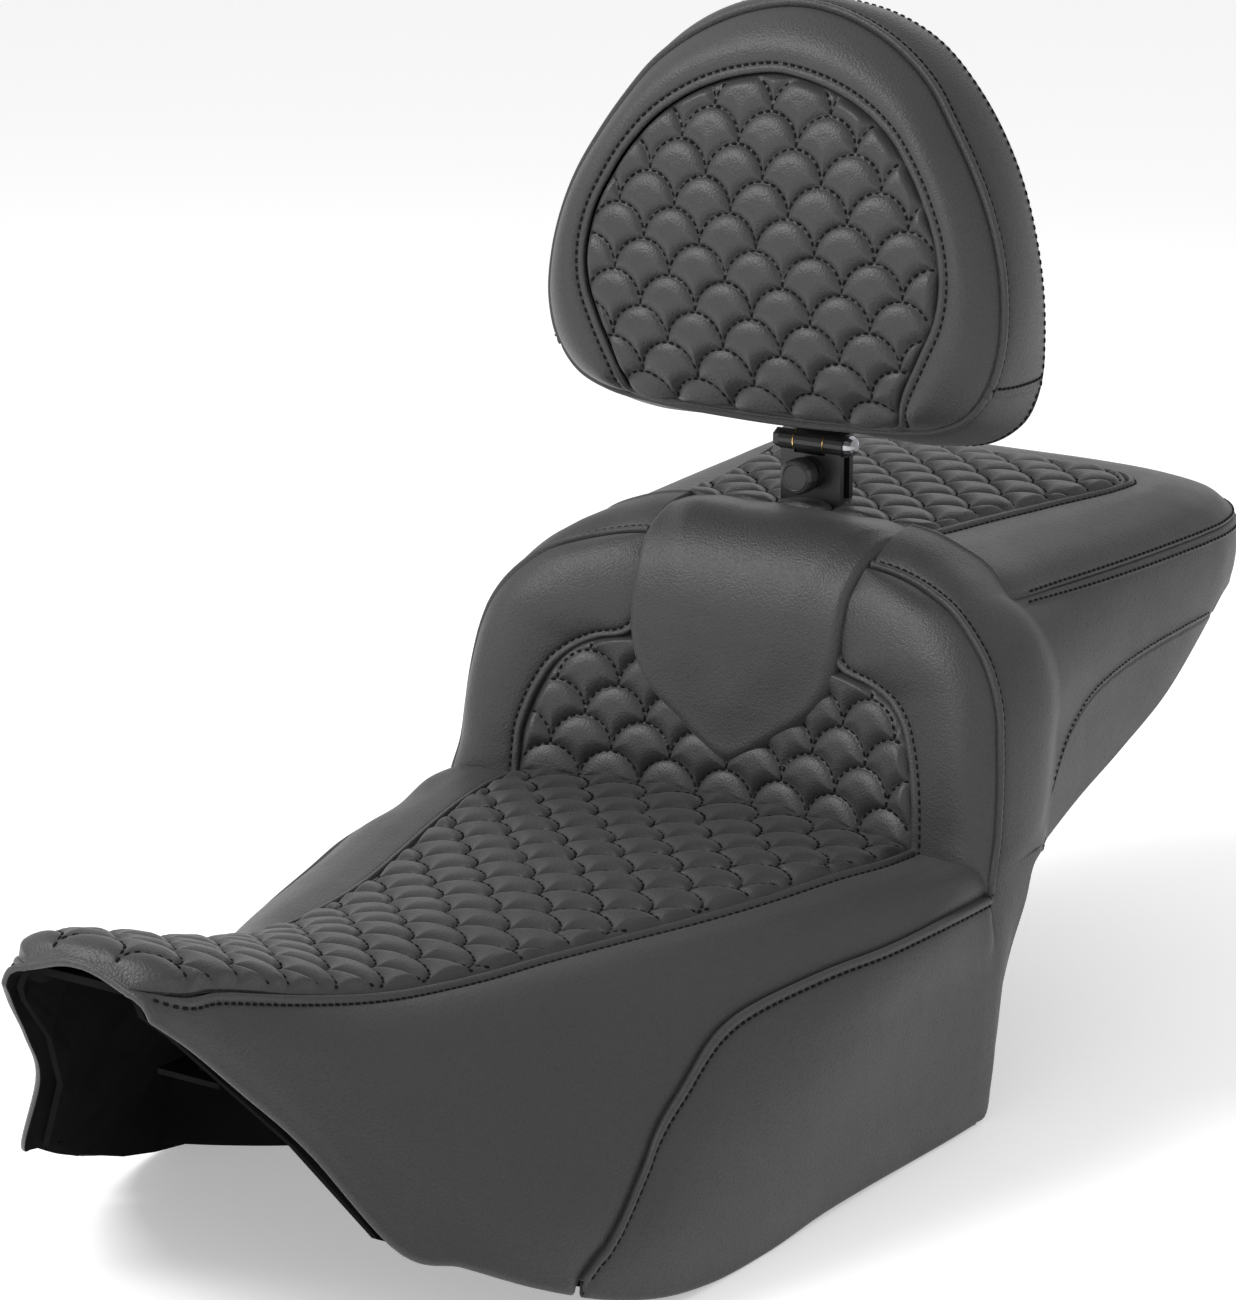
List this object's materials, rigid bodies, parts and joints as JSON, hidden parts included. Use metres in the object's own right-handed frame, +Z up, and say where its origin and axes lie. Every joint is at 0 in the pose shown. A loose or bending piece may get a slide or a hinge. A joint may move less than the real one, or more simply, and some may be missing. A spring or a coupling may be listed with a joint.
{
  "type": "motorcycle seat",
  "caption": "Two-up motorcycle seat with quilted cover panels and a folding, height-adjustable rider backrest on a steel blade.",
  "frame": {"origin": "centre of the flat rest pad under the seat pan, on the centre plane", "axes": "+Z up, -Y towards the front of the motorcycle, +X towards the motorcycle's left side"},
  "size_m": [0.382, 0.972, 0.6252],
  "materials": {
    "leather_smooth": "charcoal fine-grain cover, semi-matt",
    "leather_quilt": "charcoal fine-grain cover, quilted in a fish-scale pattern, semi-matt",
    "leather_skirt": "charcoal fine-grain cover on the side skirts, semi-matt",
    "leather_rear": "charcoal cover on the back of the backrest, matt",
    "foam": "moulded open-cell foam core, grey",
    "pan_plastic": "black moulded plastic, matt",
    "black_steel": "black satin powder coat on steel",
    "bright_steel": "bright plated steel",
    "brass": "polished brass",
    "knob_plastic": "black moulded plastic, semi-gloss",
    "stitch_thread": "black bonded sewing thread",
    "rubber": "black rubber"
  },
  "bodies": {
    "seat": {"rider_quilt_panel": "leather_quilt", "lumbar_quilt_panel": "leather_quilt", "passenger_quilt_panel": "leather_quilt", "side_panel_left": "leather_smooth", "side_panel_right": "leather_smooth", "centre_flap": "leather_smooth", "passenger_top_cover": "leather_smooth", "bolster_cover_left": "leather_smooth", "bolster_cover_right": "leather_smooth", "skirt_left": "leather_skirt", "skirt_right": "leather_skirt", "passenger_side_cover_left": "leather_skirt", "passenger_side_cover_right": "leather_skirt", "rider_foam": "foam", "lumbar_foam": "foam", "passenger_foam": "foam", "seat_pan": "pan_plastic", "receiver_socket": "black_steel", "front_tongue": "black_steel", "rear_tab": "black_steel", "receiver_screw_left": "bright_steel", "receiver_screw_right": "bright_steel", "tongue_rivet_left": "bright_steel", "tongue_rivet_right": "bright_steel", "tab_rivet_left": "bright_steel", "tab_rivet_right": "bright_steel", "rubber_foot_1": "rubber", "rubber_foot_2": "rubber", "rubber_foot_3": "rubber", "rubber_foot_4": "rubber", "rubber_foot_5": "rubber", "rubber_foot_6": "rubber"},
    "post": {"post_blade": "black_steel", "hinge_nut": "black_steel", "hinge_pin": "bright_steel", "hinge_washer_left": "brass", "hinge_washer_right": "brass"},
    "backrest": {"hinge_leaf": "black_steel", "leaf_screw_1": "bright_steel", "leaf_screw_2": "bright_steel", "leaf_screw_3": "bright_steel", "leaf_screw_4": "bright_steel", "backrest_quilt_panel": "leather_quilt", "backrest_face_cover": "leather_smooth", "backrest_boxing_upper": "leather_smooth", "backrest_boxing_lower": "leather_smooth", "backrest_rear_cover": "leather_rear", "backrest_board": "pan_plastic", "backrest_foam": "foam"},
    "thrust_foot": {"adjuster_foot": "knob_plastic"},
    "knob": {"adjuster_knob": "knob_plastic", "adjuster_stem": "bright_steel"}
  },
  "joints": [
    {"name": "post_height", "type": "slide", "parent": "seat", "child": "post", "axis": [0, 0, 1], "range_m": [0, 0.045]},
    {"name": "backrest_tilt", "type": "hinge", "parent": "post", "child": "backrest", "pos_m": [0, 0.2215, 0.2585], "axis": [1, 0, 0], "range_deg": [0, 55]},
    {"name": "adjuster_travel", "type": "slide", "parent": "post", "child": "thrust_foot", "axis": [0, 1, 0], "range_m": [-0.0036, 0]},
    {"name": "knob_turn", "type": "hinge", "parent": "thrust_foot", "child": "knob", "pos_m": [0, 0.207, 0.2405], "axis": [0, 1, 0], "range_deg": [-1008, 0]}
  ],
  "couplings": [
    {"joint": "adjuster_travel", "follows": "knob_turn", "m_per_rad": 0.00019894}
  ]
}
